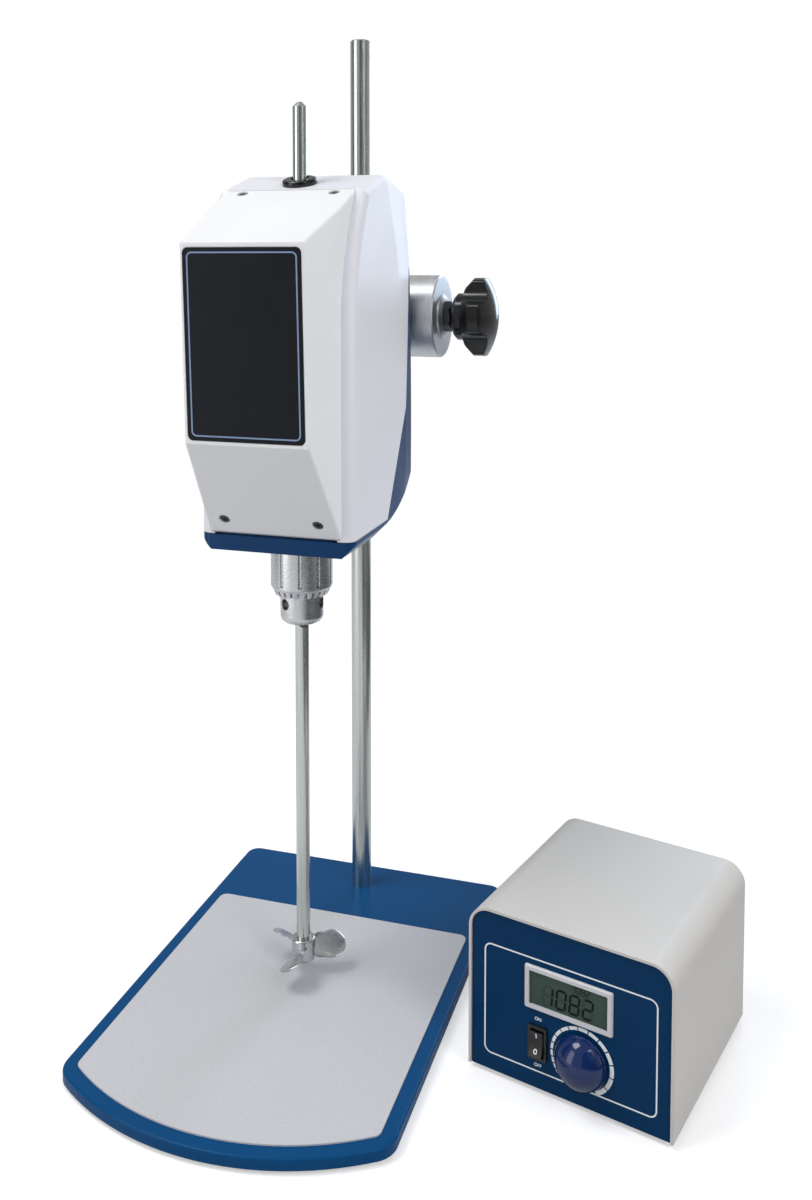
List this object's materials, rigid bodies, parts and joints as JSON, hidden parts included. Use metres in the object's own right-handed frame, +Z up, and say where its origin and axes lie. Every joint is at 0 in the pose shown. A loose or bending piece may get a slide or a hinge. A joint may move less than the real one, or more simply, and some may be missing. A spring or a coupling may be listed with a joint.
{
  "type": "overhead stirrer",
  "caption": "Overhead laboratory stirrer: motor head with a keyed chuck and propeller shaft, clamped on the rod of a plate stand, with a separate speed controller.",
  "frame": {"origin": "on the bench, straight below the stirring axis (underside of the stand's rubber underlay)", "axes": "+Z up along the stirring axis, +Y towards the stand rod at the rear, +X to the stirrer's right, where the controller stands"},
  "size_m": [0.3418, 0.2775, 0.5745],
  "materials": {
    "blue_enamel": "deep blue enamel, semi-gloss",
    "grey_mat": "pale grey mat, fine grain",
    "soft_rubber": "matt black rubber",
    "rod_steel": "ground and polished steel",
    "screw_steel": "bright zinc",
    "dark_steel": "blackened steel",
    "boss_aluminium": "turned aluminium, satin",
    "bearing_plastic": "filled plastic",
    "black_gloss": "glossy black plastic",
    "shell_white": "moulded cool white, faint grain",
    "cover_white": "moulded white, faint grain",
    "chassis_blue": "deep blue, semi-gloss",
    "label_dark": "dark foil label",
    "motor_black": "black enamel",
    "board_green": "solder-masked circuit board",
    "socket_black": "black nylon",
    "chuck_steel": "bright turned steel",
    "propeller_steel": "polished stainless steel",
    "case_grey": "warm light grey textured paint",
    "fascia_blue": "navy printed panel",
    "bezel_silver": "light silver-grey plastic",
    "lcd_glass": "liquid crystal window, grey-green",
    "knob_blue": "glossy blue plastic",
    "brass_shaft": "bright brass",
    "core_steel": "varnished lamination and tape"
  },
  "bodies": {
    "stand": {"base_plate": "blue_enamel", "base_underlay": "soft_rubber", "work_mat": "grey_mat", "stand_rod": "rod_steel", "rod_screw": "screw_steel", "controller_cover": "case_grey", "controller_chassis": "case_grey", "controller_fascia": "fascia_blue", "controller_feet": "soft_rubber", "controller_screws": "screw_steel", "lcd_bezel": "bezel_silver", "lcd_glass": "lcd_glass", "display_board": "board_green", "rocker_frame": "socket_black", "potentiometer": "screw_steel", "dial_nut": "screw_steel", "mains_inlet": "socket_black", "motor_outlet": "socket_black", "fuse_holder": "socket_black", "transformer": "core_steel", "power_board": "board_green"},
    "bushes": {"rod_bushes": "bearing_plastic"},
    "head": {"clamp_boss": "boss_aluminium", "boss_screws": "screw_steel", "boss_collar": "boss_aluminium", "clamp_nut": "dark_steel", "main_shell": "shell_white", "rear_chassis": "chassis_blue", "front_cover": "cover_white", "label_panel": "label_dark", "top_cover_screws": "screw_steel", "chin_cover_screws": "dark_steel", "shaft_grommet": "black_gloss", "spindle_frame": "boss_aluminium", "upper_bearing": "screw_steel", "lower_bearing": "screw_steel", "motor": "motor_black", "motor_screws": "screw_steel", "drive_belt": "soft_rubber", "control_board": "board_green", "head_socket": "socket_black"},
    "clamp_pad": {"clamp_pad": "bearing_plastic"},
    "clamp_knob": {"clamp_screw": "screw_steel", "clamp_knob": "black_gloss"},
    "spindle": {"hollow_spindle": "rod_steel", "spindle_pulley": "bearing_plastic", "chuck_body": "chuck_steel"},
    "chuck_sleeve": {"chuck_sleeve": "chuck_steel", "chuck_nut": "dark_steel"},
    "jaw_1": {"chuck_jaw_1": "dark_steel"},
    "jaw_2": {"chuck_jaw_2": "dark_steel"},
    "jaw_3": {"chuck_jaw_3": "dark_steel"},
    "stirrer": {"stirring_shaft": "rod_steel", "propeller": "propeller_steel", "propeller_set_screw": "screw_steel"},
    "rotor": {"motor_shaft": "rod_steel", "motor_pulley": "bearing_plastic"},
    "rocker": {"rocker_button": "socket_black"},
    "dial": {"speed_knob": "knob_blue", "dial_shaft": "brass_shaft"}
  },
  "joints": [
    {"name": "head_height", "type": "slide", "parent": "stand", "child": "bushes", "axis": [0, 0, 1], "range_m": [-0.008, 0.14]},
    {"name": "head_swing", "type": "hinge", "parent": "bushes", "child": "head", "pos_m": [0, 0.106, 0.3955], "axis": [0, 0, 1], "range_deg": [-120, 120]},
    {"name": "clamp_pad_travel", "type": "slide", "parent": "head", "child": "clamp_pad", "axis": [1, 0, 0], "range_m": [0, 0.003]},
    {"name": "clamp_knob_turn", "type": "hinge", "parent": "clamp_pad", "child": "clamp_knob", "pos_m": [0.06, 0.106, 0.3955], "axis": [1, 0, 0], "range_deg": [0, 720]},
    {"name": "spindle_spin", "type": "hinge", "parent": "head", "child": "spindle", "pos_m": [0, 0, 0.3], "axis": [0, 0, 1], "continuous": true},
    {"name": "motor_spin", "type": "hinge", "parent": "head", "child": "rotor", "pos_m": [0, 0.04, 0.43], "axis": [0, 0, 1], "continuous": true},
    {"name": "chuck_sleeve_turn", "type": "hinge", "parent": "spindle", "child": "chuck_sleeve", "pos_m": [0, 0, 0.2585], "axis": [0, 0, 1], "range_deg": [0, 1296]},
    {"name": "jaw_1_travel", "type": "slide", "parent": "spindle", "child": "jaw_1", "axis": [0.0954, 0.1652, 0.9816], "range_m": [0, 0.0048]},
    {"name": "jaw_2_travel", "type": "slide", "parent": "spindle", "child": "jaw_2", "axis": [-0.1908, 0, 0.9816], "range_m": [0, 0.0048]},
    {"name": "jaw_3_travel", "type": "slide", "parent": "spindle", "child": "jaw_3", "axis": [0.0954, -0.1652, 0.9816], "range_m": [0, 0.0048]},
    {"name": "shaft_slide", "type": "slide", "parent": "spindle", "child": "stirrer", "axis": [0, 0, 1], "range_m": [0, 0.18]},
    {"name": "power_rocker", "type": "hinge", "parent": "stand", "child": "rocker", "pos_m": [0.14934, -0.04783, 0.0278], "axis": [0.9659, -0.2588, 0], "range_deg": [0, 18]},
    {"name": "speed_knob", "type": "hinge", "parent": "stand", "child": "dial", "pos_m": [0.17291, -0.05415, 0.0269], "axis": [-0.2588, -0.9659, 0], "range_deg": [-150, 150]}
  ],
  "couplings": [
    {"joint": "clamp_knob_turn", "follows": "clamp_pad_travel", "rad_per_m": 4188.8},
    {"joint": "motor_spin", "follows": "spindle_spin", "ratio": 1.75},
    {"joint": "jaw_1_travel", "follows": "chuck_sleeve_turn", "m_per_rad": 0.00020213},
    {"joint": "jaw_2_travel", "follows": "chuck_sleeve_turn", "m_per_rad": 0.00020213},
    {"joint": "jaw_3_travel", "follows": "chuck_sleeve_turn", "m_per_rad": 0.00020213}
  ]
}
